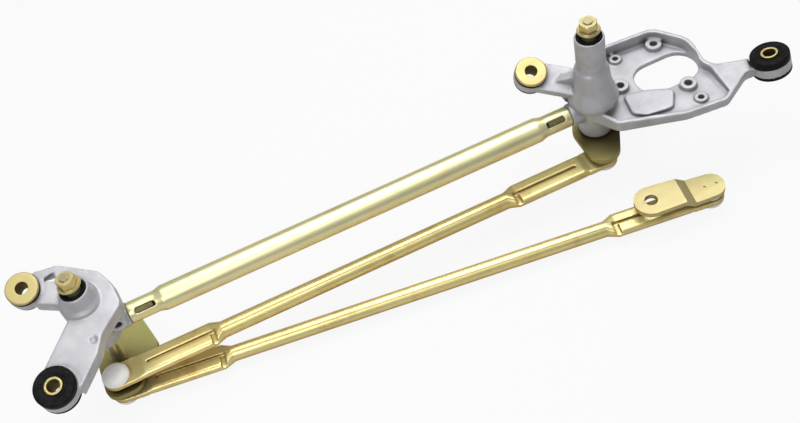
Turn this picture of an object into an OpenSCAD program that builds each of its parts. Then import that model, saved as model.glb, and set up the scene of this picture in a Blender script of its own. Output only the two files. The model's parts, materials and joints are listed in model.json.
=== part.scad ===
// Windscreen wiper linkage: a frame of two die-cast pivot brackets joined by a steel tube,
// two arm spindles with levers, a link rod between the levers, and a drive rod with its motor crank.
// Origin: the seat of the right wiper arm, on its spindle axis. X runs along the tube to the right,
// Z is up along the spindles and Y points away from the front. The pieces are drawn from the point
// where the right spindle axis meets the tube axis, and then lowered to that origin.

/* [Frame tube] */
// Distance between the two spindle axes
pivot_span = 464; // [440:1:490]
// Outer diameter of the frame tube
tube_d = 22.2; // [20:0.1:25]
// Outer diameter of the swaged tube ends
tube_neck_d = 18.6; // [17:0.1:19.6]
// Wall of the frame tube
tube_wall = 1.6; // [1.2:0.1:2.4]
// Length of each swaged tube end
tube_neck_len = 25; // [23:1:40]
// Length of the cone between the swaged end and the full tube
tube_cone_len = 6; // [4:1:12]
// From the left spindle axis to the tube end
tube_gap_left = 27; // [24:1:34]
// From the right spindle axis to the tube end
tube_gap_right = 25; // [24:0.5:30]
// How far each bracket spigot reaches into the tube
spigot_len = 22; // [18:1:23]

/* [Spindles and bearings] */
// Diameter of the arm spindles
spindle_d = 12; // [10:0.5:13]
// Outer diameter of the bearing bushes
bush_d = 16; // [15:0.5:17]
// Length of each bearing bush
bush_len = 15; // [10:1:20]
// Top of the left bracket housing above the tube axis
left_top = 55; // [53:1:60]
// Top of the right bracket housing above the tube axis
right_top = 82; // [74:1:90]
// Bottom of the left bracket housing below the tube axis
left_depth = 14; // [13:1:20]
// Length of bare spindle above the housing, up to the nut
spindle_bare = 13; // [12:1:18]
// Thread diameter at the top of the spindles
thread_d = 8; // [6:1:10]
// Diameter of the flange on the arm nuts
nut_flange_d = 20; // [16:0.5:22]
// Width across the corners of the arm nuts
nut_corner_d = 16.5; // [13:0.5:18]
// Height of the arm nuts
nut_h = 9; // [7:0.5:11]
// Thickness of the thrust washers
washer_t = 1.5; // [1:0.1:2.5]

/* [Levers and rods] */
// Length of both levers, from spindle axis to ball
lever_r = 25; // [24:0.5:27]
// Direction of the levers at rest, seen from above
lever_angle = -104; // [-108:1:-98]
// Thickness of the levers and the motor crank
lever_t = 5; // [4:0.5:6]
// Height of the link rod axis below the tube axis
link_drop = 42; // [41:1:46]
// From the middle of a lever to the centre of its ball
ball_offset = 10; // [9.5:0.5:12]
// Diameter of the balls
ball_d = 13; // [12:0.5:14]
// Diameter of the link rod
link_d = 15; // [13:0.5:17]
// Diameter of the drive rod
drive_d = 14; // [12:0.5:16]
// Width of the flattened rod ends
tongue_w = 24; // [22:0.5:25]
// Thickness of the flattened rod ends
tongue_t = 8; // [7:0.5:9]
// Thickness of the pad that holds each socket
pad_t = 5; // [4:0.5:5.5]
// Length of the pad, from the ball
pad_len = 18; // [15:1:26]
// Length of the flattened rod ends, from ball to shoulder
tongue_len = 88; // [60:1:110]
// Diameter of the domed ball sockets
socket_d = 24; // [22:0.5:24]
// Place of the drive rod's right ball, along and across the tube
drive_ball = [58, -95];
// Length of the motor crank, from ball to motor shaft
crank_r = 54; // [45:1:60]
// Direction of the motor crank at rest, from ball to motor shaft
crank_angle = 172; // [150:1:190]
// Height of the step in the motor crank
crank_step = 6; // [4:0.5:8]
// Diameter of the motor shaft hole in the crank
crank_bore_d = 11.5; // [8:0.5:13]

/* [Motor plate] */
// Centre of the motor, along and across the tube
motor_at = [62, 4];
// Diameter of the circle of motor bolts
motor_pcd = 67; // [64:0.5:70]
// Diameter of the motor bolt holes
motor_hole_d = 6.6; // [5.5:0.1:7.5]
// Length of the motor opening
opening_l = 58; // [52:1:60]
// Width of the motor opening
opening_w = 36; // [32:1:38]
// Thickness of the plate floor
floor_t = 5; // [4:0.5:6]
// Height of the rim at the back of the plate
rim_h = 17; // [12:1:20]
// Thickness of the rim
rim_w = 4; // [3:0.5:5]

/* [Mounting points] */
// Diameter of the fixing hole in each sleeve
sleeve_bore_d = 10.5; // [8:0.5:11]
// Outer diameter of each sleeve
sleeve_d = 15; // [14:0.5:16]
// Diameter of the flange on the upper sleeves
sleeve_flange_d = 28.5; // [24:0.5:31]
// Diameter of the upper rubber grommets
grommet_d = 28; // [26:0.5:29]
// Diameter of the lower, wider rubber grommets
wide_grommet_d = 34; // [32:0.5:36]
// Bore of the bracket eyes that hold the grommets
eye_bore_d = 22; // [20:0.5:24]
// Height of the bracket eyes
eye_h = 9; // [8:0.5:12]
// Thickness of each grommet lip
lip_t = 3.5; // [2.5:0.5:5]
// Thickness of the upper lip of the wide grommets
wide_lip_t = 7; // [5:0.5:9]
// Tilt of the left mounting plane
left_tilt = 14; // [10:1:18]
// Further tilt of the left upper mounting point
left_upper_lean = 7; // [0:1:10]
// Tilt of the right upper mounting point
right_tilt = 22; // [15:1:24]

/* [Hidden] */
$fn = 48;

// Clearances: pressed pieces of one body, turning shafts, balls, and parts that pass each other
fit = 0.05;
run = 0.04;
ball_clear = 0.1;
pass = 0.4;
// Overlap used to sink one piece of a solid into the next, and reach of a cutting tool
sink = 1;
reach = 40;

left_x = -pivot_span;
ball_r = ball_d / 2;
lever_at = lever_r * [cos(lever_angle), sin(lever_angle)];
link_z = -link_drop;
right_lever_z = link_z + ball_offset;
left_lever_z = link_z - ball_offset;
drive_z = left_lever_z - ball_offset;
crank_z = drive_z + ball_offset;
link_left = [left_x + lever_at[0], lever_at[1]];
link_right = lever_at;
// Running gap between a thrust washer and its housing
washer_gap = 0.1;
right_depth = -(right_lever_z + lever_t / 2 + washer_t + washer_gap);

spindle_r = spindle_d / 2;
bush_r = bush_d / 2;
// Outer radius of the housings at their foot, and of the towers
foot_r = 15;
tower_r = 12.8;
edge = 1;
// Cup at the top of each tower for its dust seal, the seal's lip and its rim above the cup
cup_deep = 6;
cup_r = 10.8;
lip_h = 1.5;
lip_slope = 0.5;
seal_wall = 1.6;
seal_proud = 1;
left_bearing_top = left_top - cup_deep;
right_bearing_top = right_top - cup_deep;
ring_t = 1.2;
ring_r = spindle_r + 2;
ring_groove = 0.6;
// Length of the spindle under the nut seat, and of its thread
nut_flange_h = 2;
thread_over = 1.5;

// Eye frames: place and tilt of the four mounting points
left_plane_z = 39;
left_upper_at = [-38.5, 28];
left_lower_at = [-38.5, -64];
right_upper_at = [-43, 32, 32];
right_end_at = [150, -42, 3];
right_end_tilt = [-12, -6, 0];
eye_r = 17;
upper_eye_r = 14.5;
// The arms end a little inside their eyes, and their ribs stay clear of the grommet lips
arm_inset = 1.5;
lip_clear = 1;

// Plan of the plate: floor underside and the raised places above it
floor_z = -5;
pad_h = 4;
boss_h = 5;
boss_r = 7.5;
stud_bosses = [[80, -43.5], [42, 37]];
stud_boss_r = 6;
stud_boss_h = 3;
stud_hole_d = 5;
opening_shift = [10, -3.5];
// Corners of the plate, as [x, y, radius], and of the raised seat at its front
plate_corners = [[-6, 10, 4], [34, 49, 12], [84, 45, 16], [105, 16, 26], [102, -19, 14], [150, -34, 4],
    [148, -46, 4], [126, -41, 10], [97, -59, 10], [60, -55, 20], [4, -36, 10], [-10, -12, 4]];
seat_corners = [[25, -7, 4], [21, -30, 6], [31, -38.5, 6], [54, -42, 6], [66, -23, 5], [45, -12, 4]];
// The rim stands on the plate up to where the arm starts, and is cut lower towards the front
rim_end = 103;
rim_front = [-60, 8];
rim_slope = 7;

function unit(v) = v / norm(v);
function turn(a) = a > 180 ? a - 360 : a < -180 ? a + 360 : a;
// Points of one rounded corner b, with the neighbours a and c, radius r and n steps
function corner(a, b, c, r, n = 8) =
    let (u = unit(a - b), v = unit(c - b), half = acos(u * v) / 2,
         o = b + unit(u + v) * r / sin(half), p = b + u * r / tan(half), q = b + v * r / tan(half),
         s = atan2(p[1] - o[1], p[0] - o[0]), e = atan2(q[1] - o[1], q[0] - o[0]), d = turn(e - s))
    [for (i = [0:n]) o + r * [cos(s + d * i / n), sin(s + d * i / n)]];
function flat2(p) = [p[0], p[1]];
// Closed outline with rounded corners, each given as [x, y, radius]
module outline(c) {
    n = len(c);
    polygon([for (i = [0:n - 1])
        for (p = corner(flat2(c[(i + n - 1) % n]), flat2(c[i]), flat2(c[(i + 1) % n]), c[i][2])) p]);
}

// Points of an arc about o, from angle s to angle e
function arc(o, r, s, e, n = 20) =
    [for (i = [0:n]) let (a = s + (e - s) * i / n) o + r * [cos(a), sin(a)]];
// Flat bar with two round ends, joined by their common tangents
module bar(a, ra, b, rb) {
    dir = atan2(b[1] - a[1], b[0] - a[0]);
    lean = acos((ra - rb) / norm(b - a));
    polygon(concat(arc(b, rb, dir - lean, dir + lean), arc(a, ra, dir + lean, dir + 360 - lean)));
}

module ring(r_out, r_in, h) {
    difference() {
        cylinder(h = h, r = r_out);
        translate([0, 0, -sink]) cylinder(h = h + 2 * sink, r = r_in);
    }
}

// Frames in which a mounting point's axis is Z and its eye is centred on the origin
module at_left(p) translate([left_x, 0, left_plane_z]) rotate([left_tilt, 0, 0]) translate(p) children();
module at_right_upper() translate(right_upper_at) rotate([right_tilt, 0, 0]) children();
module at_right_end() translate(right_end_at) rotate(right_end_tilt) children();
module at_left_upper() at_left([left_upper_at[0], left_upper_at[1], 0]) rotate([left_upper_lean, 0, 0])
    children();
module at_left_lower() at_left([left_lower_at[0], left_lower_at[1], 0]) children();

module eye_ring(r) translate([0, 0, -eye_h / 2]) cylinder(h = eye_h, r = r);
module eye_bore() translate([0, 0, -reach / 2]) cylinder(h = reach, r = eye_bore_d / 2);
// Room for the grommet lips on both faces of an eye
module lip_room(r) for (m = [0, 1]) mirror([0, 0, m])
    translate([0, 0, eye_h / 2]) cylinder(h = reach, r = r + lip_clear);

// Bearing bore of a housing, right through, with the seal's cup at the top of the tower
module bearing_bore(bottom, top) {
    translate([0, 0, bottom - sink]) cylinder(h = top - bottom + 2 * sink, r = bush_r + fit);
    translate([0, 0, top - cup_deep]) cylinder(h = cup_deep + sink, r = cup_r);
}

// Spigot that carries a swaged tube end, with the collar that the tube butts against
spigot_r = tube_neck_d / 2 - tube_wall - fit;
spigot_collar = 1;
module spigot(gap) {
    rotate([0, 90, 0]) cylinder(h = gap + spigot_len, r = spigot_r);
    rotate([0, 90, 0]) cylinder(h = gap - fit, r = tube_neck_d / 2 + spigot_collar);
}

// Left bracket: a short tower on a sloping plate that reaches out to two eyes, over a round housing
plate_t = 6;
rib_h = 9;
// Half sections of the housing and tower, as [radius, height]
left_section = [[0, -left_depth], [foot_r - edge, -left_depth], [foot_r, edge - left_depth], [16, 12], [18, 32],
    [18, 40], [15, 44], [tower_r, left_top - edge], [tower_r - edge, left_top], [0, left_top]];
right_section = [[0, -right_depth], [foot_r - edge, -right_depth], [foot_r, edge - right_depth], [16.5, 4],
    [22, 10], [22, 14], [17, 28], [15, 46], [tower_r, 48.5], [tower_r, right_top - edge],
    [tower_r - edge, right_top], [0, right_top]];
// Corners of the left plate and of the window behind its upper strut
left_corners = [[-51, -52, 4], [-10.5, -9.5, 7], [-17, 3, 8], [-38, 15, 4], [-47, 33, 6], [-27, 40, 8],
    [-8, 37.5, 8], [21.5, 17, 12], [28.5, 2, 12], [30, -18, 8], [8, -36, 6], [0, -50, 8], [-25.5, -76, 6]];
window_corners = [[-24, 30, 1.5], [-12, 33, 1.5], [-13, 24, 1.5]];
dimple_at = [0, -38];
dimple_r = 3;
dimple_deep = 1.5;
// Lug with a hole at the foot of the spigot
lug_at = [17, -foot_r, 9];
lug_r = 8;
lug_t = 12;
lug_hole_r = 3.6;
module left_bracket() {
    color("gainsboro") difference() {
        union() {
            translate([left_x, 0, 0]) rotate_extrude() polygon(left_section);
            translate([left_x, 0, 0]) spigot(tube_gap_left);
            left_plate();
            at_left_upper() eye_ring(upper_eye_r);
            at_left_lower() eye_ring(eye_r);
            lug() cylinder(h = lug_t, r = lug_r);
        }
        translate([left_x, 0, 0]) bearing_bore(-left_depth, left_top);
        at_left_upper() eye_bore();
        at_left_lower() eye_bore();
        lug() translate([0, 0, lug_t / 2]) cylinder(h = reach, r = lug_hole_r);
        at_left([dimple_at[0], dimple_at[1], plate_t / 2 - dimple_deep]) cylinder(h = reach, r = dimple_r);
    }
}
module lug() translate([left_x, 0, 0] + lug_at + [0, lug_t, 0]) rotate([90, 0, 0]) children();
// Sloping plate with a rib along its edge underneath, left open round the eyes
module left_plate() difference() {
    at_left([0, 0, -plate_t / 2 - rib_h]) difference() {
        linear_extrude(plate_t + rib_h) outline(left_corners);
        translate([0, 0, -sink]) linear_extrude(rib_h + sink) offset(delta = -rim_w) outline(left_corners);
        translate([0, 0, -sink]) linear_extrude(reach) outline(window_corners);
    }
    at_left_upper() lip_room(upper_eye_r);
    at_left_lower() lip_room(eye_r);
}

// Right bracket: a tall flared tower that carries the motor plate and two eyes
strut_w = 13;
// Web under the strut of the upper eye, as [distance from the axis, height]
web_t = 8;
web_section = [[0, 5], [24, 5], [34, 22], [34, 30], [0, 42]];
module right_bracket() {
    color("gainsboro") difference() {
        union() {
            rotate_extrude() polygon(right_section);
            rotate([0, 0, 180]) spigot(tube_gap_right);
            difference() {
                motor_plate();
                at_right_end() lip_room(eye_r);
            }
            at_right_upper() {
                eye_ring(upper_eye_r);
                translate([0, 0, edge / 2 - eye_h / 2]) linear_extrude(eye_h - edge)
                    bar([0, 0], upper_eye_r - arm_inset, [-right_upper_at[0], -right_upper_at[1]], strut_w);
            }
            rotate([90, 0, atan2(right_upper_at[1], right_upper_at[0])]) translate([0, 0, -web_t / 2])
                linear_extrude(web_t) polygon(web_section);
            at_right_end() eye_ring(eye_r);
        }
        bearing_bore(-right_depth, right_top);
        motor_cuts();
        at_right_upper() eye_bore();
        at_right_end() eye_bore();
    }
}

// Motor plate, from the tower round the motor to the arm of the end eye
module plate_plan() outline(plate_corners);
module motor_bosses(r) for (a = [60, 180, 300])
    translate(motor_at + motor_pcd / 2 * [cos(a), sin(a)]) circle(r);
module motor_plate() {
    translate([0, 0, floor_z]) linear_extrude(floor_t) plate_plan();
    difference() {
        translate([0, 0, floor_z]) linear_extrude(rim_h) difference() {
            plate_plan();
            intersection() {
                offset(delta = -rim_w) plate_plan();
                translate([rim_end - 4 * reach, -2 * reach]) square(4 * reach);
            }
        }
        translate([0, rim_front[0], floor_z + rim_front[1]]) rotate([rim_slope, 0, 0])
            translate([-2 * reach, -reach, 0]) cube([8 * reach, 6 * reach, reach]);
    }
    // Raised seat for the motor along the front, and the bolt bosses
    translate([0, 0, floor_z]) linear_extrude(floor_t + pad_h) outline(seat_corners);
    translate([0, 0, floor_z]) linear_extrude(floor_t + boss_h) motor_bosses(boss_r);
    for (p = stud_bosses) at(p, floor_z) cylinder(h = floor_t + stud_boss_h, r = stud_boss_r);
}
module motor_cuts() {
    opening_at = motor_at + opening_shift;
    at(opening_at, floor_z - sink) linear_extrude(reach)
        outline([for (s = [[-1, -1], [1, -1], [1, 1], [-1, 1]])
            [s[0] * opening_l / 2, s[1] * opening_w / 2, opening_w / 2 - edge]]);
    translate([0, 0, floor_z - sink]) linear_extrude(reach) motor_bosses(motor_hole_d / 2);
    for (p = stud_bosses) at(p, floor_z - sink) cylinder(h = reach, d = stud_hole_d);
}

// Frame tube, swaged down over both spigots, with a lock window punched through at each end
lock_l = 17;
lock_w = 5;
lock_side = 45;
// Middle of the lock window along the swaged end, as a share of its length
lock_share = 0.6;
module frame_tube() {
    start = left_x + tube_gap_left;
    len_t = pivot_span - tube_gap_left - tube_gap_right;
    r = tube_d / 2;
    n = tube_neck_d / 2;
    w = tube_wall;
    a = tube_neck_len;
    b = tube_neck_len + tube_cone_len;
    color("khaki") difference() {
        translate([start, 0, 0]) rotate([0, 90, 0]) rotate_extrude() polygon([[n - w, 0], [n, 0], [n, a],
            [r, b], [r, len_t - b], [n, len_t - a], [n, len_t], [n - w, len_t], [n - w, len_t - a],
            [r - w, len_t - b], [r - w, b], [n - w, a]]);
        for (x = [start + a * lock_share, -tube_gap_right - a * lock_share]) translate([x, 0, 0]) rotate([lock_side, 0, 0])
            translate([0, 0, reach / 2]) cube([lock_l, lock_w, reach], center = true);
    }
}

// Bearing bush, pressed into its housing
module bush(x, z) color("darkgoldenrod") translate([x, 0, z]) ring(bush_r, spindle_r + run, bush_len);
module left_upper_bush() bush(left_x, left_bearing_top - bush_len);
module left_lower_bush() bush(left_x, -left_depth);
module right_upper_bush() bush(0, right_bearing_top - bush_len);
module right_lower_bush() bush(0, -right_depth);

// Dust seal in the tower's cup, with a lip round the spindle above the retaining ring
module dust_seal(x, bearing_top) {
    r = cup_r - fit;
    rim = cup_deep + seal_proud;
    lip = cup_deep - edge;
    color("black") translate([x, 0, bearing_top]) rotate_extrude() polygon([[ring_r + pass, 0], [r, 0],
        [r, rim], [r - seal_wall, rim], [r - seal_wall, lip], [spindle_r + pass, lip - lip_slope],
        [spindle_r + pass, lip - lip_h], [ring_r + pass, lip - lip_h]]);
}
module left_dust_seal() dust_seal(left_x, left_bearing_top);
module right_dust_seal() dust_seal(0, right_bearing_top);

// Rubber grommet with a lip on each face of its eye, and a shallow recess round its sleeve
lip_round = 1.5;
recess_w = 3;
module grommet(d, upper_lip) {
    n = eye_bore_d / 2 - fit;
    g = d / 2;
    s = sleeve_d / 2 + fit;
    h = eye_h / 2 + fit;
    low = -eye_h / 2 - lip_t;
    top = eye_h / 2 + upper_lip;
    color("black") rotate_extrude() polygon([[s, low], [g - lip_round, low], [g, low + edge], [g, -h], [n, -h],
        [n, h], [g, h], [g, top - lip_round], [g - lip_round, top], [s + recess_w, top],
        [s + recess_w - edge, top - edge], [s, top - edge]]);
}
module left_upper_grommet() at_left_upper() grommet(grommet_d, lip_t);
module left_lower_grommet() at_left_lower() grommet(wide_grommet_d, wide_lip_t);
module right_upper_grommet() at_right_upper() grommet(grommet_d, lip_t);
module right_end_grommet() at_right_end() grommet(wide_grommet_d, wide_lip_t);

// Spacer sleeve in a grommet; the upper ones have a wide flange, the others stand a little proud
flange_t = 2.2;
sleeve_proud = 0.5;
module sleeve(upper_lip, flanged) {
    low = -eye_h / 2 - lip_t;
    top = eye_h / 2 + upper_lip + (flanged ? fit + flange_t : sleeve_proud);
    r = sleeve_flange_d / 2;
    color("gold") difference() {
        union() {
            translate([0, 0, low]) cylinder(h = top - low, r = sleeve_d / 2);
            if (flanged) translate([0, 0, top - flange_t]) cylinder(h = flange_t, r1 = r, r2 = r - edge);
        }
        translate([0, 0, -reach / 2]) cylinder(h = reach, r = sleeve_bore_d / 2);
    }
}
module left_upper_sleeve() at_left_upper() sleeve(lip_t, true);
module left_lower_sleeve() at_left_lower() sleeve(wide_lip_t, false);
module right_upper_sleeve() at_right_upper() sleeve(lip_t, true);
module right_end_sleeve() at_right_end() sleeve(wide_lip_t, false);

// Arm spindle: journal, taper for the arm and a thread, with a groove for the retaining ring
taper_h = 7;
taper_in = 1;
collar_h = 3;
collar_r = 9;
// The right spindle's foot is riveted over below its lever
rivet_h = 1.5;
module spindle(x, bottom, bearing_top) color("silver") translate([x, 0, 0]) difference() {
    seat = bearing_top + spindle_bare;
    union() {
        translate([0, 0, bottom]) cylinder(h = seat - taper_h - bottom, r = spindle_r);
        translate([0, 0, seat - taper_h]) cylinder(h = taper_h, r1 = spindle_r, r2 = thread_d / 2 + taper_in);
        translate([0, 0, seat - sink]) cylinder(h = nut_h + sink + thread_over, r = thread_d / 2);
    }
    translate([0, 0, bearing_top + washer_gap]) ring(ring_r, spindle_r - ring_groove, ring_t + 2 * fit);
}
module left_spindle() {
    spindle(left_x, left_lever_z - lever_t / 2, left_bearing_top);
    color("silver") translate([left_x, 0, -left_depth - washer_gap - washer_t - collar_h])
        cylinder(h = collar_h, r = collar_r);
}
module right_spindle() spindle(0, right_lever_z - lever_t / 2 - rivet_h, right_bearing_top);

ring_slot = 3;
module retaining_ring(x, top) color("dimgray") translate([x, 0, top + washer_gap + fit]) difference() {
    ring(ring_r, spindle_r - ring_groove + fit, ring_t);
    translate([0, -ring_slot / 2, -sink]) cube([reach, ring_slot, reach]);
}
module left_retaining_ring() retaining_ring(left_x, left_bearing_top);
module right_retaining_ring() retaining_ring(0, right_bearing_top);

washer_r = 11;
module thrust_washer(x, z) color("silver") translate([x, 0, z]) ring(washer_r, spindle_r + fit, washer_t);
module left_thrust_washer() thrust_washer(left_x, -left_depth - washer_gap - washer_t);
module right_thrust_washer() thrust_washer(0, -right_depth - washer_gap - washer_t);

// Flanged hexagon nut, its corners turned down at the top
nut_cone = 6;
nut_chamfer = 1.2;
module arm_nut(x, seat) color("gold") translate([x, 0, seat + fit]) difference() {
    r = nut_corner_d / 2;
    union() {
        cylinder(h = nut_flange_h, r1 = nut_flange_d / 2, r2 = nut_flange_d / 2 - edge);
        intersection() {
            cylinder(h = nut_h, r = r, $fn = 6);
            cylinder(h = nut_h, r1 = r + nut_cone, r2 = r - nut_chamfer);
        }
    }
    translate([0, 0, -sink]) cylinder(h = nut_h + 2 * sink, r = thread_d / 2 + fit);
}
module left_arm_nut() arm_nut(left_x, left_bearing_top + spindle_bare);
module right_arm_nut() arm_nut(0, right_bearing_top + spindle_bare);

// Shank of the ball studs, where they are riveted into a lever
shank_r = 4;
head_r = 6;
module lever_plate(z) translate([0, 0, z - lever_t / 2]) linear_extrude(lever_t) children();
module shank_hole(p, top) translate([p[0], p[1], top - reach]) cylinder(h = reach, r = shank_r + fit);

// The left lever is a broad plate: a nose round the ball, and a heel that spreads behind the spindle
nose_r = 14;
nose_round = 12;
heel_corners = [[35, -2, 12], [26, 40, 8], [-13, 36, 8], [-20, -2, 10]];
right_hub_r = 21;
right_nose_r = 15;
module left_lever() color("khaki") translate([left_x, 0, 0]) difference() {
    lever_plate(left_lever_z) outline(concat([for (x = [-nose_r, nose_r])
        [lever_at[0] + x, lever_at[1] - nose_r, nose_round]], heel_corners));
    shank_hole(lever_at, left_lever_z + reach / 2);
    translate([0, 0, left_lever_z - reach]) cylinder(h = 2 * reach, r = spindle_r + fit);
}
module right_lever() color("khaki") difference() {
    lever_plate(right_lever_z) bar([0, 0], right_hub_r, lever_at, right_nose_r);
    shank_hole(lever_at, right_lever_z - lever_t / 2 + shank_len + fit);
    translate([0, 0, right_lever_z - reach]) cylinder(h = 2 * reach, r = spindle_r + fit);
}

// Ball with its neck and collar, centred on the ball, with the lever above it. The shank is welded
// into the lever from below and doesn't come through
collar_t = 0.8;
stud_neck_r = 4.2;
stud_cover = 1.2;
shank_len = lever_t - stud_cover;
module ball_and_neck() {
    face = ball_offset - lever_t / 2;
    sphere(ball_r);
    cylinder(h = face, r = stud_neck_r);
    translate([0, 0, face - collar_t]) cylinder(h = collar_t, r = head_r);
    translate([0, 0, face - sink]) cylinder(h = shank_len + sink, r = shank_r);
}
module at(p, z) translate([p[0], p[1], z]) children();

// Double stud: one ball above the left lever for the link rod, one below it for the drive rod
module left_ball_stud() color("lightgray") {
    at(link_left, link_z) mirror([0, 0, 1]) ball_and_neck();
    at(link_left, drive_z) ball_and_neck();
}
module right_ball_stud() color("lightgray") at(link_right, link_z) ball_and_neck();
module crank_ball_stud() color("lightgray") at(drive_ball, drive_z) ball_and_neck();

// Nylon ball socket: a round dome on one face of the rod end and a snap lip on the other
hole_r = 9.5;
snap_r = 10.3;
snap_edge = 0.5;
mouth_z = 4.6;
mouth_deep = 2;
dome_cover = 3;
dome_round = 6.5;
dome_step = 10;
module socket() {
    z = -ball_r - dome_cover;
    o = socket_d / 2 - dome_round;
    t = pad_t / 2 + fit;
    color("white") difference() {
        rotate_extrude() polygon(concat([[0, z]],
            [for (a = [-90:dome_step:0]) [o + dome_round * cos(a), z + dome_round + dome_round * sin(a)]],
            [[socket_d / 2, -t], [hole_r, -t], [hole_r, t], [snap_r, t], [snap_r, mouth_z - snap_edge],
             [snap_r - snap_edge, mouth_z], [0, mouth_z]]));
        sphere(ball_r + ball_clear);
        translate([0, 0, mouth_z - mouth_deep]) cylinder(h = mouth_deep + sink, r = ball_r - edge);
    }
}
// Rubber boot between the socket's mouth and the stud's collar
boot_foot = 0.5;
boot_wall = 2.5;
boot_edge = 0.8;
module boot() {
    top = ball_offset - lever_t / 2 - pass - mouth_z - fit;
    color("black") translate([0, 0, mouth_z + fit]) rotate_extrude() polygon([[ball_r - boot_foot, 0],
        [snap_r - boot_foot, 0], [snap_r, boot_edge], [head_r + boot_wall, top], [head_r + pass, top],
        [head_r + pass, edge]]);
}
module facing_down() mirror([0, 0, 1]) children();
module link_left_socket() at(link_left, link_z) facing_down() socket();
module link_right_socket() at(link_right, link_z) socket();
module link_left_seal() at(link_left, link_z) facing_down() boot();
module link_right_seal() at(link_right, link_z) boot();
module drive_left_socket() at(link_left, drive_z) socket();
module drive_right_socket() at(drive_ball, drive_z) socket();
module drive_left_seal() at(link_left, drive_z) boot();
module drive_right_seal() at(drive_ball, drive_z) boot();

// Rod of rolled tube lying along X from ball to ball. Each end is pressed into a flat channel with an
// open seam on top, and thins to a pad round its socket
shoulder = 9;
ramp = 6;
seam_w = 2.6;
seam_deep = 2.8;
seam_start = 4;
notch_l = 5;
notch_deep = 3;
fold_flat = 0.2;
module tongue_section(t) {
    r = t / 2 - fold_flat;
    rotate([90, 0, 90]) linear_extrude(sink) outline([for (c = [[-1, -1], [1, -1], [1, 1], [-1, 1]])
        [c[0] * tongue_w / 2, c[1] * t / 2, r]]);
}
module rod_end(d) {
    translate([0, 0, -pad_t / 2]) linear_extrude(pad_t) {
        circle(tongue_w / 2);
        translate([0, -tongue_w / 2]) square([pad_len + sink, tongue_w]);
    }
    hull() {
        translate([pad_len, 0, 0]) tongue_section(pad_t);
        translate([pad_len + ramp, 0, 0]) tongue_section(tongue_t);
        translate([tongue_len - sink, 0, 0]) tongue_section(tongue_t);
    }
    // Shoulder where the flat end swells into the tube
    hull() {
        translate([tongue_len - sink, 0, 0]) tongue_section(tongue_t);
        translate([tongue_len + shoulder - sink, 0, 0]) rotate([0, 90, 0])
            cylinder(h = sink, r = d / 2, $fn = 32);
    }
}
module rod_end_cuts() {
    seam_from = pad_len + ramp + seam_start;
    notch_w = tongue_w / 2 + seam_w / 2;
    translate([0, 0, -reach / 2]) cylinder(h = reach, r = hole_r + fit);
    translate([seam_from, -seam_w / 2, tongue_t / 2 - seam_deep]) cube([tongue_len - seam_from, seam_w, reach]);
    translate([tongue_len - notch_l / 2, seam_w / 2 - notch_w, tongue_t / 2 - notch_deep])
        cube([notch_l, notch_w, reach]);
}
module rod(l, d) {
    difference() {
        union() {
            translate([tongue_len + shoulder - sink, 0, 0]) rotate([0, 90, 0])
                cylinder(h = l - 2 * (tongue_len + shoulder - sink), r = d / 2);
            for (m = [0, 1]) translate([m * l, 0, 0]) mirror([m, 0, 0]) rod_end(d);
        }
        for (m = [0, 1]) translate([m * l, 0, 0]) mirror([m, 0, 0]) rod_end_cuts();
    }
}
module link_rod() color("goldenrod") at(link_left, link_z) rod(pivot_span, link_d);
drive_vec = drive_ball - link_left;
module drive_rod() color("goldenrod") at(link_left, drive_z)
    rotate([0, 0, atan2(drive_vec[1], drive_vec[0])]) rod(norm(drive_vec), drive_d);

// Motor crank: flat bar with a step between its ball end and its motor end, and two weld marks over
// the ball stud
ball_end_r = 12.5;
motor_end_r = 15;
step_from = 0.36;
step_to = 0.52;
step_lead = 1;
weld_gap = 11;
weld_r = 1.1;
weld_deep = 0.7;
module motor_crank() {
    a = crank_r * step_from;
    b = crank_r * step_to;
    h = lever_t;
    s = crank_step;
    color("khaki") at(drive_ball, crank_z - lever_t / 2) rotate([0, 0, crank_angle]) difference() {
        intersection() {
            linear_extrude(reach) bar([0, 0], ball_end_r, [crank_r, 0], motor_end_r);
            translate([0, reach, 0]) rotate([90, 0, 0]) linear_extrude(2 * reach) polygon([[-reach, 0], [a, 0],
                [b, s], [2 * reach, s], [2 * reach, s + h], [b - step_lead, s + h], [a - step_lead, h],
                [-reach, h]]);
        }
        shank_hole([0, 0], shank_len + fit);
        for (x = [-1, 1] * weld_gap / 2) translate([x, 0, h - weld_deep]) cylinder(h = reach, r = weld_r);
        translate([crank_r, 0, -sink]) cylinder(h = reach, r = crank_bore_d / 2);
    }
}

// Lowers the pieces from the tube axis to the part's origin
module from_arm_seat() translate([0, 0, -right_bearing_top - spindle_bare]) children();

from_arm_seat() left_bracket();
from_arm_seat() right_bracket();
from_arm_seat() frame_tube();
from_arm_seat() left_upper_bush();
from_arm_seat() left_lower_bush();
from_arm_seat() right_upper_bush();
from_arm_seat() right_lower_bush();
from_arm_seat() left_dust_seal();
from_arm_seat() right_dust_seal();
from_arm_seat() left_upper_grommet();
from_arm_seat() left_lower_grommet();
from_arm_seat() right_upper_grommet();
from_arm_seat() right_end_grommet();
from_arm_seat() left_upper_sleeve();
from_arm_seat() left_lower_sleeve();
from_arm_seat() right_upper_sleeve();
from_arm_seat() right_end_sleeve();
from_arm_seat() left_spindle();
from_arm_seat() left_lever();
from_arm_seat() left_arm_nut();
from_arm_seat() left_thrust_washer();
from_arm_seat() left_retaining_ring();
from_arm_seat() left_ball_stud();
from_arm_seat() right_spindle();
from_arm_seat() right_lever();
from_arm_seat() right_arm_nut();
from_arm_seat() right_thrust_washer();
from_arm_seat() right_retaining_ring();
from_arm_seat() right_ball_stud();
from_arm_seat() link_rod();
from_arm_seat() link_left_socket();
from_arm_seat() link_right_socket();
from_arm_seat() link_left_seal();
from_arm_seat() link_right_seal();
from_arm_seat() drive_rod();
from_arm_seat() drive_left_socket();
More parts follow.
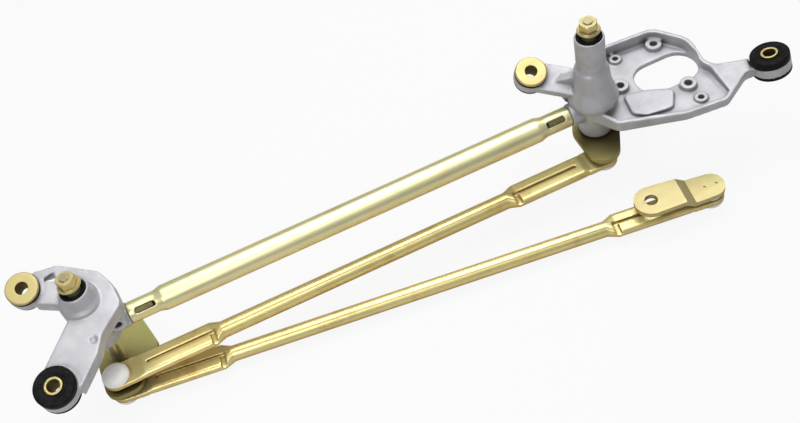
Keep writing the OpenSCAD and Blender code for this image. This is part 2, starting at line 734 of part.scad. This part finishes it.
from_arm_seat() drive_right_socket();
from_arm_seat() drive_left_seal();
from_arm_seat() drive_right_seal();
from_arm_seat() motor_crank();
from_arm_seat() crank_ball_stud();
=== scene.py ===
# Wiper linkage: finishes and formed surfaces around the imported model, in the order it is put together.
import json
import math

import bpy
from mathutils import Matrix, Vector


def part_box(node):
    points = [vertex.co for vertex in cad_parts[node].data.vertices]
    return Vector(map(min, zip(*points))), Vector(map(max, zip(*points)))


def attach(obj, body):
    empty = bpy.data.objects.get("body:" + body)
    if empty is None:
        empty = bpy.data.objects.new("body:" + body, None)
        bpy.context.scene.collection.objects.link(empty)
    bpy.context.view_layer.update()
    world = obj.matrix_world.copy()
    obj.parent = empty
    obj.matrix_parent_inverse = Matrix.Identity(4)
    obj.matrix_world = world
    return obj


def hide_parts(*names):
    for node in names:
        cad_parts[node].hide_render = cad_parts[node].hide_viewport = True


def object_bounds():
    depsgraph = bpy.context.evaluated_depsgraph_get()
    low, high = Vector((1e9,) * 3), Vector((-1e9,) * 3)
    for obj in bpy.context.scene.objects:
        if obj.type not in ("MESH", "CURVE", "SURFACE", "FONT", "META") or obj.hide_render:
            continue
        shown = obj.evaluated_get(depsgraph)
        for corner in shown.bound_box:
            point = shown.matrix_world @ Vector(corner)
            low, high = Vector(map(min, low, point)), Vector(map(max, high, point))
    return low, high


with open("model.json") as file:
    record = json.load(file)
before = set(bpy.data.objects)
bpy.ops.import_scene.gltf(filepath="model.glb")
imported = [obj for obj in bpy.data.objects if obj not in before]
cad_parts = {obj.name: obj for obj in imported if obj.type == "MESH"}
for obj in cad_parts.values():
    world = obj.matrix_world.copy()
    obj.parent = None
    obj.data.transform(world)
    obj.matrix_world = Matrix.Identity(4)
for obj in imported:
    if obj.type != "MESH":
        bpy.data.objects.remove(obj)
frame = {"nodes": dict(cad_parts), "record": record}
nodes = frame["nodes"]
cad_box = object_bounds()

# Viewpoint
# The linkage is seen from above its front, with the camera rolled so that the tube climbs to the right.
# Lengths are in metres; the lens is given in pixels of a picture 800 wide.
camera_place = Vector((-0.30798, -0.63350, 0.65757))
sight = Vector((0.11478, 0.63057, -0.76759)).normalized()
camera_up = Vector((0.40855, 0.67436, 0.61508)).normalized()
lens_in_pixels = 1150
picture_width = 800

camera_data = bpy.data.cameras.new("camera")
camera_data.sensor_width = 36
camera_data.lens = camera_data.sensor_width * lens_in_pixels / picture_width
camera_data.clip_start = 0.01
camera = bpy.data.objects.new("camera", camera_data)
camera_right = sight.cross(camera_up).normalized()
turn = Matrix((camera_right, camera_right.cross(sight), -sight)).transposed()
camera.matrix_world = Matrix.Translation(camera_place) @ turn.to_4x4()
bpy.context.scene.collection.objects.link(camera)
bpy.context.scene.camera = camera
bpy.context.scene.view_settings.view_transform = "Standard"

# Studio
# A white sweep of paper under the linkage and four soft boxes, as for a catalogue picture.
# The paper is white to the eye, dimmer in the gloss of the metal, and still takes the shadow.
paper_size = 6.0
paper_gap = 0.0006
paper_middle_x = -0.2
paper_tone = (0.50, 0.50, 0.50, 1)
glow_to_eye = 0.90
glow_in_gloss = 0.30
room_strength = 0.34
room_low = (0.30, 0.30, 0.30, 1)
room_high = (0.95, 0.96, 0.97, 1)
room_high_from = 0.55
soft_boxes = [
    # place, size, power, aim
    ((0.00, 0.40, 1.30), 1.3, 18.5, (-0.2, 0, -0.1)),
    ((0.9, 0.5, 0.9), 0.6, 3, (0.05, 0, -0.1)),
    ((-0.30, -0.60, 1.15), 0.8, 3.5, (-0.3, 0, -0.1)),
    ((-0.62, -0.50, 0.35), 0.4, 1.6, (-0.46, -0.03, -0.12)),
]


def new_material(name):
    """An empty material: itself, its node tree and its output node."""
    made = bpy.data.materials.new(name)
    made.use_nodes = True
    tree = made.node_tree
    tree.nodes.clear()
    out = tree.nodes.new("ShaderNodeOutputMaterial")
    return made, tree, out


def computed(tree, operation, *terms):
    """The result of a math node; each term is a socket or a number."""
    made = tree.nodes.new("ShaderNodeMath")
    made.operation = operation
    for slot, term in zip(made.inputs, terms):
        if hasattr(term, "is_output"):
            tree.links.new(term, slot)
        else:
            slot.default_value = term
    return made.outputs[0]


def seen_directly(tree, plain, mirrored):
    """Share for camera and glass rays, a lesser one for mirror rays, and 0 for light that bounces about."""
    path = tree.nodes.new("ShaderNodeLightPath")
    sight_rays = computed(tree, "MAXIMUM", path.outputs["Is Camera Ray"], path.outputs["Is Transmission Ray"])
    weighed = computed(tree, "MULTIPLY", sight_rays, plain)
    gleam = computed(tree, "MULTIPLY", path.outputs["Is Glossy Ray"], mirrored)
    return computed(tree, "MAXIMUM", weighed, gleam)


lowest = cad_box[0][2]
bpy.ops.mesh.primitive_plane_add(size=paper_size, location=(paper_middle_x, 0, lowest - paper_gap))
paper = bpy.context.object
paper.name = "paper_sweep"
paper_look, tree, out = new_material("paper_white")
matt = tree.nodes.new("ShaderNodeBsdfDiffuse")
matt.inputs["Color"].default_value = paper_tone
glow = tree.nodes.new("ShaderNodeEmission")
glow.inputs["Color"].default_value = (1, 1, 1, 1)
blend = tree.nodes.new("ShaderNodeMixShader")
tree.links.new(seen_directly(tree, glow_to_eye, glow_in_gloss), blend.inputs["Fac"])
tree.links.new(matt.outputs[0], blend.inputs[1])
tree.links.new(glow.outputs[0], blend.inputs[2])
tree.links.new(blend.outputs[0], out.inputs["Surface"])
paper.data.materials.append(paper_look)

for place, size, power, aim in soft_boxes:
    lamp = bpy.data.lights.new("soft_box", "AREA")
    lamp.shape = "DISK"
    lamp.size = size
    lamp.energy = power
    lamp_object = bpy.data.objects.new("soft_box", lamp)
    lamp_object.location = place
    lamp_object.rotation_euler = (Vector(aim) - Vector(place)).to_track_quat("-Z", "Y").to_euler()
    bpy.context.scene.collection.objects.link(lamp_object)

room = bpy.data.worlds.new("studio_room")
room.use_nodes = True
bpy.context.scene.world = room
tree = room.node_tree
tree.nodes.clear()
air = tree.nodes.new("ShaderNodeBackground")
air.inputs["Strength"].default_value = room_strength
where = tree.nodes.new("ShaderNodeTexCoord")
split = tree.nodes.new("ShaderNodeSeparateXYZ")
tree.links.new(where.outputs["Generated"], split.inputs[0])
ramp = tree.nodes.new("ShaderNodeValToRGB")
ramp.color_ramp.elements[0].color = room_low
ramp.color_ramp.elements[1].position = room_high_from
ramp.color_ramp.elements[1].color = room_high
tree.links.new(split.outputs["Z"], ramp.inputs["Fac"])
tree.links.new(ramp.outputs["Color"], air.inputs["Color"])
sky_out = tree.nodes.new("ShaderNodeOutputWorld")
tree.links.new(air.outputs[0], sky_out.inputs["Surface"])

# Brackets
# Two pressure die castings in an aluminium alloy, left as cast: satin grey, faintly mottled, with soft
# edges and fillets everywhere, and painted shade in the corners. They are the fixed frame of the linkage.
cast_grey = (0.50, 0.495, 0.52, 1)
cast_dark = (0.40, 0.395, 0.42, 1)
# Painted shade: the tone and reach of the shade painted into the castings' corners.
cast_corner_shade = (0.12, 0.12, 0.125, 1)
cast_shade_reach = 0.007
cast_voxel = 0.0008
cast_rounds = 7


def shader_group(name, inputs, outputs):
    """An empty node group with its named sockets."""
    kinds = {"colour": "NodeSocketColor", "value": "NodeSocketFloat"}
    group = bpy.data.node_groups.new(name, "ShaderNodeTree")
    for label, kind, start in inputs:
        socket = group.interface.new_socket(label, in_out="INPUT", socket_type=kinds[kind])
        socket.default_value = start
    for label, kind in outputs:
        group.interface.new_socket(label, in_out="OUTPUT", socket_type=kinds[kind])
    return group, group.nodes.new("NodeGroupInput"), group.nodes.new("NodeGroupOutput")


def noise(tree, scale, detail, rough, stretch=None):
    """Noise on the piece's own coordinates, in metres, so it stays with the piece in every pose."""
    where = tree.nodes.new("ShaderNodeTexCoord")
    made = tree.nodes.new("ShaderNodeTexNoise")
    made.inputs["Scale"].default_value = scale
    made.inputs["Detail"].default_value = detail
    made.inputs["Roughness"].default_value = rough
    source = where.outputs["Object"]
    if stretch:
        pull = tree.nodes.new("ShaderNodeMapping")
        pull.inputs["Scale"].default_value = stretch
        tree.links.new(source, pull.inputs["Vector"])
        source = pull.outputs["Vector"]
    tree.links.new(source, made.inputs["Vector"])
    return made.outputs["Fac"]


def spread(tree, source, low_in, high_in, low_out=0.0, high_out=1.0):
    """Source remapped from one range to another, and held inside it."""
    made = tree.nodes.new("ShaderNodeMapRange")
    made.inputs["From Min"].default_value = low_in
    made.inputs["From Max"].default_value = high_in
    made.inputs["To Min"].default_value = low_out
    made.inputs["To Max"].default_value = high_out
    tree.links.new(source, made.inputs["Value"])
    return made.outputs["Result"]


def mixed(tree, share_of, a, b):
    """Colour a going over to colour b; each is a socket or a fixed colour."""
    made = tree.nodes.new("ShaderNodeMix")
    made.data_type = "RGBA"
    tree.links.new(share_of, made.inputs["Factor"])
    colour_slots = [slot for slot in made.inputs if slot.type == "RGBA"]
    for slot, value in zip(colour_slots, (a, b)):
        if hasattr(value, "is_output"):
            tree.links.new(value, slot)
        else:
            slot.default_value = value
    return next(slot for slot in made.outputs if slot.type == "RGBA")


# Painted shade in corners: darker where the surface or a neighbour shuts a point in, as ambient occlusion finds
# it.
corner_shade_group, given, made = shader_group(
    "painted_corner_shade", [("Reach", "value", 0.006)], [("Mask", "value")])
shut_in = corner_shade_group.nodes.new("ShaderNodeAmbientOcclusion")
shut_in.samples = 8
corner_shade_group.links.new(given.outputs["Reach"], shut_in.inputs["Distance"])
corner_shade_group.links.new(spread(corner_shade_group, shut_in.outputs["AO"], 0.35, 0.95, 1, 0), made.inputs["Mask"])

# Skin of a die casting: broad mottling, a fine grain, and a height for the bump.
skin_group, given, made = shader_group(
    "cast_skin",
    [("Colour", "colour", cast_grey), ("Mottle", "colour", cast_dark)],
    [("Colour", "colour"), ("Roughness", "value"), ("Height", "value")])
broad = noise(skin_group, 55, 4, 0.6)
fine = noise(skin_group, 900, 3, 0.6)
mottled = spread(skin_group, broad, 0.35, 0.72)
skin_group.links.new(
    mixed(skin_group, mottled, given.outputs["Colour"], given.outputs["Mottle"]), made.inputs["Colour"])
skin_group.links.new(spread(skin_group, broad, 0.3, 0.7, 0.42, 0.56), made.inputs["Roughness"])
skin_group.links.new(fine, made.inputs["Height"])


def placed(tree, group, **values):
    """A node group in a material, with its own values for the named inputs."""
    made = tree.nodes.new("ShaderNodeGroup")
    made.node_tree = group
    for label, value in values.items():
        made.inputs[label].default_value = value
    return made


def bumped(tree, height, strength, distance):
    """The normal of a surface with this height, at most distance metres deep."""
    made = tree.nodes.new("ShaderNodeBump")
    made.inputs["Strength"].default_value = strength
    made.inputs["Distance"].default_value = distance
    tree.links.new(height, made.inputs["Height"])
    return made.outputs["Normal"]


cast_look, tree, out = new_material("die_cast_aluminium")
shine = tree.nodes.new("ShaderNodeBsdfPrincipled")
shine.inputs["Metallic"].default_value = 0.45
skin = placed(tree, skin_group)
# Painted shade: the skin colour goes over to the dark corner tone where the surface is shut in.
corner = placed(tree, corner_shade_group, Reach=cast_shade_reach)
tree.links.new(
    mixed(tree, corner.outputs["Mask"], skin.outputs["Colour"], cast_corner_shade), shine.inputs["Base Color"])
tree.links.new(skin.outputs["Roughness"], shine.inputs["Roughness"])
tree.links.new(bumped(tree, skin.outputs["Height"], 0.25, 0.0003), shine.inputs["Normal"])
tree.links.new(shine.outputs[0], out.inputs["Surface"])


def formed_copy(node, name, voxel, rounds):
    """The node's solid with its edges run over: remeshed finely and relaxed, as a cast or pressed skin."""
    made = bpy.data.objects.new(name, nodes[node].data.copy())
    bpy.context.scene.collection.objects.link(made)
    made.data.materials.clear()
    grid = made.modifiers.new("grid", "REMESH")
    grid.mode = "VOXEL"
    grid.voxel_size = voxel
    grid.use_smooth_shade = True
    relax = made.modifiers.new("relax", "SMOOTH")
    relax.factor = 0.5
    relax.iterations = rounds
    seen = made.evaluated_get(bpy.context.evaluated_depsgraph_get())
    surface = bpy.data.meshes.new_from_object(seen)
    made.modifiers.clear()
    made.data = surface
    surface.shade_smooth()
    body = next(b for b, members in frame["record"]["behaviour"]["bodies"].items() if node in members)
    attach(made, body)
    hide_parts(node)
    return made


# The spigot faces inside the tube ends, seen through the lock windows, get a dark mottled colour: painted shade
# in the windows.
tube_low, tube_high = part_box("frame_tube")
tube_axis_y = (tube_low[1] + tube_high[1]) / 2
tube_axis_z = (tube_low[2] + tube_high[2]) / 2
spigot_reach = 0.0095
window_shade_dark = (0.10, 0.085, 0.03, 1)
window_shade_pale = (0.20, 0.17, 0.07, 1)
window_shade_look, tree, out = new_material("spigot_window_shade")
shine = tree.nodes.new("ShaderNodeBsdfPrincipled")
shine.inputs["Metallic"].default_value = 0.3
shine.inputs["Roughness"].default_value = 0.55
shade_mottle = noise(tree, 400, 3, 0.6)
tree.links.new(mixed(tree, spread(tree, shade_mottle, 0.3, 0.7), window_shade_dark, window_shade_pale), shine.inputs["Base Color"])
tree.links.new(shine.outputs[0], out.inputs["Surface"])

for side in ("left", "right"):
    casting = formed_copy(side + "_bracket", side + "_bracket_casting", cast_voxel, cast_rounds)
    casting.data.materials.append(cast_look)
    casting.data.materials.append(window_shade_look)
    # Painted shade: casting faces on the spigots inside the tube get the dark window colour.
    for face in casting.data.polygons:
        off_axis = math.hypot(face.center.y - tube_axis_y, face.center.z - tube_axis_z)
        if tube_low[0] < face.center.x < tube_high[0] and off_axis < spigot_reach:
            face.material_index = 1

# Frame tube and rods
# Steel tube with yellow chromate over zinc: a straw colour that drifts to green and rose, with a soft
# shine. The tube is swaged and crimped on the brackets, the rods are rolled and pressed flat at their ends.
zinc_straw = (0.80, 0.75, 0.44, 1)
zinc_green = (0.68, 0.69, 0.38, 1)
zinc_rose = (0.76, 0.58, 0.30, 1)
zinc_edge = (0.80, 0.68, 0.42, 1)
rod_straw = (0.84, 0.73, 0.34, 1)
rod_green = (0.76, 0.71, 0.33, 1)
rod_rose = (0.54, 0.32, 0.09, 1)
rod_edge = (0.55, 0.33, 0.10, 1)
rod_seam_lean = -0.45
tube_voxel = 0.0009
rod_voxel = 0.0007
steel_rounds = 3

# Chromate film: straw drifting to green and rose, fine drawing lines along the piece, patchy gloss, and painted
# shade in rose on the downward faces.
film_and_shade_group, given, made = shader_group(
    "chromate_film_and_underside_shade",
    [("Straw", "colour", zinc_straw), ("Green", "colour", zinc_green), ("Rose", "colour", zinc_rose),
     ("Rough", "value", 0.0)],
    [("Colour", "colour"), ("Roughness", "value"), ("Height", "value")])
drift = noise(film_and_shade_group, 22, 3, 0.55)
blush = noise(film_and_shade_group, 38, 4, 0.6)
lines = noise(film_and_shade_group, 160, 3, 0.6, stretch=(0.05, 1, 1))
greening = spread(film_and_shade_group, drift, 0.42, 0.72)
greened = mixed(film_and_shade_group, greening, given.outputs["Straw"], given.outputs["Green"])
blushed = mixed(film_and_shade_group, spread(film_and_shade_group, blush, 0.52, 0.80, 0, 0.8), greened, given.outputs["Rose"])
facing = film_and_shade_group.nodes.new("ShaderNodeTexCoord")
up_side = film_and_shade_group.nodes.new("ShaderNodeSeparateXYZ")
film_and_shade_group.links.new(facing.outputs["Normal"], up_side.inputs[0])
# Painted shade: faces turned downwards in the piece's own frame go over to rose.
underside_shade = spread(film_and_shade_group, up_side.outputs["Z"], 0.55, -0.5, 0, 0.85)
film_and_shade_group.links.new(mixed(film_and_shade_group, underside_shade, blushed, given.outputs["Rose"]), made.inputs["Colour"])
gloss = spread(film_and_shade_group, lines, 0.25, 0.75, 0.30, 0.44)
film_and_shade_group.links.new(computed(film_and_shade_group, "ADD", gloss, given.outputs["Rough"]), made.inputs["Roughness"])
film_and_shade_group.links.new(lines, made.inputs["Height"])


def plated(name, straw, green, rose, edge=zinc_edge, reach=0.004, shade_share=0.4, rough=0.0, seam_at=None):
    """Yellow-plated steel in the given shades, with painted shade in its corners and on its downward faces;
    edge is the tint of its gloss at a low angle.

    seam_at is the sideways lean of the surface at which the seam of a rolled rod runs, if there is one.
    """
    look, tree, out = new_material(name)
    shine = tree.nodes.new("ShaderNodeBsdfPrincipled")
    shine.inputs["Metallic"].default_value = 0.75
    shine.inputs["Specular Tint"].default_value = edge
    film_and_shade = placed(tree, film_and_shade_group, Straw=straw, Green=green, Rose=rose, Rough=rough)
    # Painted shade: near a shut-in surface the colour goes over to the rose darkened by the shade share.
    corner = placed(tree, corner_shade_group, Reach=reach)
    shade_and_seam_tone = tuple(shade_share * c for c in rose[:3]) + (1,)
    colour = mixed(tree, corner.outputs["Mask"], film_and_shade.outputs["Colour"], shade_and_seam_tone)
    if seam_at is not None:
        facing = tree.nodes.new("ShaderNodeTexCoord")
        lean = tree.nodes.new("ShaderNodeSeparateXYZ")
        tree.links.new(facing.outputs["Normal"], lean.inputs[0])
        away = computed(tree, "ABSOLUTE", computed(tree, "SUBTRACT", lean.outputs["Y"], seam_at))
        line = spread(tree, away, 0.03, 0.13, 0.7, 0)
        upper_side = spread(tree, lean.outputs["Z"], 0.3, 0.6)
        colour = mixed(tree, computed(tree, "MULTIPLY", line, upper_side), colour, shade_and_seam_tone)
    tree.links.new(colour, shine.inputs["Base Color"])
    tree.links.new(film_and_shade.outputs["Roughness"], shine.inputs["Roughness"])
    tree.links.new(bumped(tree, film_and_shade.outputs["Height"], 0.10, 0.0002), shine.inputs["Normal"])
    tree.links.new(shine.outputs[0], out.inputs["Surface"])
    return look


tube_look = plated("yellow_zinc_tube", zinc_straw, zinc_green, zinc_rose)
rod_look = plated("yellow_zinc_rods", rod_straw, rod_green, rod_rose, edge=rod_edge, seam_at=rod_seam_lean)
tube_and_rods = [
    ("frame_tube", tube_look, tube_voxel),
    ("link_rod", rod_look, rod_voxel),
    ("drive_rod", rod_look, rod_voxel),
]
for node, look, voxel in tube_and_rods:
    pressed = formed_copy(node, node + "_steel", voxel, steel_rounds)
    pressed.data.materials.append(look)

# Levers and motor crank
# Blanked and joggled from 5 mm steel strip and plated with the rods; their edges are just broken.
strip_edge = 0.0006
weld_distance = 0.00001
sharp_from = math.radians(32)


def finished(node, look, edge, segments=2):
    """The node itself with a finish, its edges broken by a small bevel."""
    piece = nodes[node]
    piece.data.materials.clear()
    piece.data.materials.append(look)
    weld = piece.modifiers.new("weld", "WELD")
    weld.merge_threshold = weld_distance
    broken = piece.modifiers.new("broken_edge", "BEVEL")
    broken.width = edge
    broken.segments = segments
    broken.limit_method = "ANGLE"
    broken.angle_limit = sharp_from
    even = piece.modifiers.new("even_shading", "WEIGHTED_NORMAL")
    even.keep_sharp = True
    return piece


crank_look = plated(
    "yellow_zinc_crank", (0.54, 0.46, 0.24, 1), (0.47, 0.45, 0.20, 1), (0.50, 0.38, 0.19, 1), rough=0.10)
# The levers' olive is their plating, darkened partly as painted shade from the brackets above; their 40 mm
# reach paints shade near the housings.
lever_look_with_shade = plated(
    "olive_zinc_levers_with_painted_shade", (0.42, 0.38, 0.15, 1), (0.34, 0.33, 0.115, 1), (0.40, 0.30, 0.12, 1),
    reach=0.04, shade_share=0.2, rough=0.08)
finished("motor_crank", crank_look, strip_edge)
for node in ("left_lever", "right_lever"):
    finished(node, lever_look_with_shade, strip_edge)

# Spindles, ball studs, washers and rings
# Turned steel with a thin bright yellow plate, and fine turning lines round the axis.
steel_bright = (0.66, 0.59, 0.38, 1)
steel_dull = (0.52, 0.45, 0.26, 1)
spindle_edge = 0.0004
turned_look, tree, out = new_material("turned_steel")
shine = tree.nodes.new("ShaderNodeBsdfPrincipled")
shine.inputs["Metallic"].default_value = 0.8
rings = noise(tree, 120, 3, 0.6, stretch=(0.1, 0.1, 30))
tree.links.new(mixed(tree, spread(tree, rings, 0.3, 0.7), steel_bright, steel_dull), shine.inputs["Base Color"])
tree.links.new(spread(tree, rings, 0.3, 0.7, 0.22, 0.36), shine.inputs["Roughness"])
tree.links.new(bumped(tree, rings, 0.15, 0.0002), shine.inputs["Normal"])
tree.links.new(shine.outputs[0], out.inputs["Surface"])
for side in ("left", "right"):
    for piece in ("spindle", "ball_stud", "thrust_washer", "retaining_ring"):
        finished(side + "_" + piece, turned_look, spindle_edge)
finished("crank_ball_stud", turned_look, spindle_edge)

# Bearing bushes
# Sintered bronze, oil-dark, pressed into the housings where only their ends can be seen.
bronze = (0.42, 0.28, 0.13, 1)
bronze_pore = (0.20, 0.13, 0.06, 1)
bush_edge = 0.0003
bronze_look, tree, out = new_material("sintered_bronze")
shine = tree.nodes.new("ShaderNodeBsdfPrincipled")
shine.inputs["Metallic"].default_value = 0.9
pores = noise(tree, 700, 4, 0.7)
tree.links.new(mixed(tree, spread(tree, pores, 0.35, 0.7), bronze, bronze_pore), shine.inputs["Base Color"])
tree.links.new(spread(tree, pores, 0.3, 0.7, 0.35, 0.55), shine.inputs["Roughness"])
tree.links.new(shine.outputs[0], out.inputs["Surface"])
for side in ("left", "right"):
    for level in ("upper", "lower"):
        finished(f"{side}_{level}_bush", bronze_look, bush_edge)

# Arm nuts and fixing sleeves
# Yellow-zinc fastener stock: bright on the nuts, duller on the sleeves, with painted shade in their bores.
fastener_edge = 0.0007
fastener_look = plated(
    "yellow_zinc_fasteners", (0.66, 0.57, 0.28, 1), (0.60, 0.55, 0.28, 1), (0.64, 0.47, 0.22, 1))
# Painted shade: the sleeves' 14 mm reach darkens their bores.
sleeve_look = plated(
    "yellow_zinc_sleeves", (0.58, 0.49, 0.22, 1), (0.52, 0.47, 0.21, 1), (0.56, 0.41, 0.18, 1),
    reach=0.014, shade_share=0.12, rough=0.10)
for side in ("left", "right"):
    finished(side + "_arm_nut", fastener_look, fastener_edge, 3)
for place in ("left_upper", "left_lower", "right_upper", "right_end"):
    finished(place + "_sleeve", sleeve_look, fastener_edge, 3)

# Grommets and seals
# Black moulded rubber with a matt bloom, soft edges and a faint moulded grain.
rubber_black = (0.006, 0.006, 0.006, 1)
rubber_bloom = (0.016, 0.016, 0.016, 1)
grommet_edge = 0.0008
dust_seal_edge = 0.0006
ball_seal_edge = 0.0004
rubber_look, tree, out = new_material("moulded_rubber")
shine = tree.nodes.new("ShaderNodeBsdfPrincipled")
bloom = noise(tree, 240, 4, 0.6)
grain = noise(tree, 1500, 2, 0.5)
tree.links.new(
    mixed(tree, spread(tree, bloom, 0.45, 0.8), rubber_black, rubber_bloom), shine.inputs["Base Color"])
shine.inputs["Specular IOR Level"].default_value = 0.08
tree.links.new(spread(tree, bloom, 0.3, 0.7, 0.45, 0.62), shine.inputs["Roughness"])
tree.links.new(bumped(tree, grain, 0.2, 0.0002), shine.inputs["Normal"])
tree.links.new(shine.outputs[0], out.inputs["Surface"])
for place in ("left_upper", "left_lower", "right_upper", "right_end"):
    finished(place + "_grommet", rubber_look, grommet_edge, 3)
for node in ("left_dust_seal", "right_dust_seal"):
    finished(node, rubber_look, dust_seal_edge, 3)
for rod in ("link", "drive"):
    for end in ("left", "right"):
        finished(f"{rod}_{end}_seal", rubber_look, ball_seal_edge)

# Ball sockets
# White nylon, moulded: a smooth low dome over each ball, slightly translucent at its edges.
nylon_white = (0.90, 0.895, 0.88, 1)
nylon_grey = (0.85, 0.845, 0.83, 1)
socket_edge = 0.0008
nylon_look, tree, out = new_material("pale_nylon")
shine = tree.nodes.new("ShaderNodeBsdfPrincipled")
shine.inputs["Subsurface Weight"].default_value = 0.12
shine.inputs["Subsurface Radius"].default_value = (0.002, 0.002, 0.002)
haze = noise(tree, 180, 3, 0.6)
tree.links.new(mixed(tree, spread(tree, haze, 0.35, 0.7), nylon_white, nylon_grey), shine.inputs["Base Color"])
tree.links.new(spread(tree, haze, 0.3, 0.7, 0.32, 0.46), shine.inputs["Roughness"])
tree.links.new(shine.outputs[0], out.inputs["Surface"])
for rod in ("link", "drive"):
    for end in ("left", "right"):
        finished(f"{rod}_{end}_socket", nylon_look, socket_edge, 3)
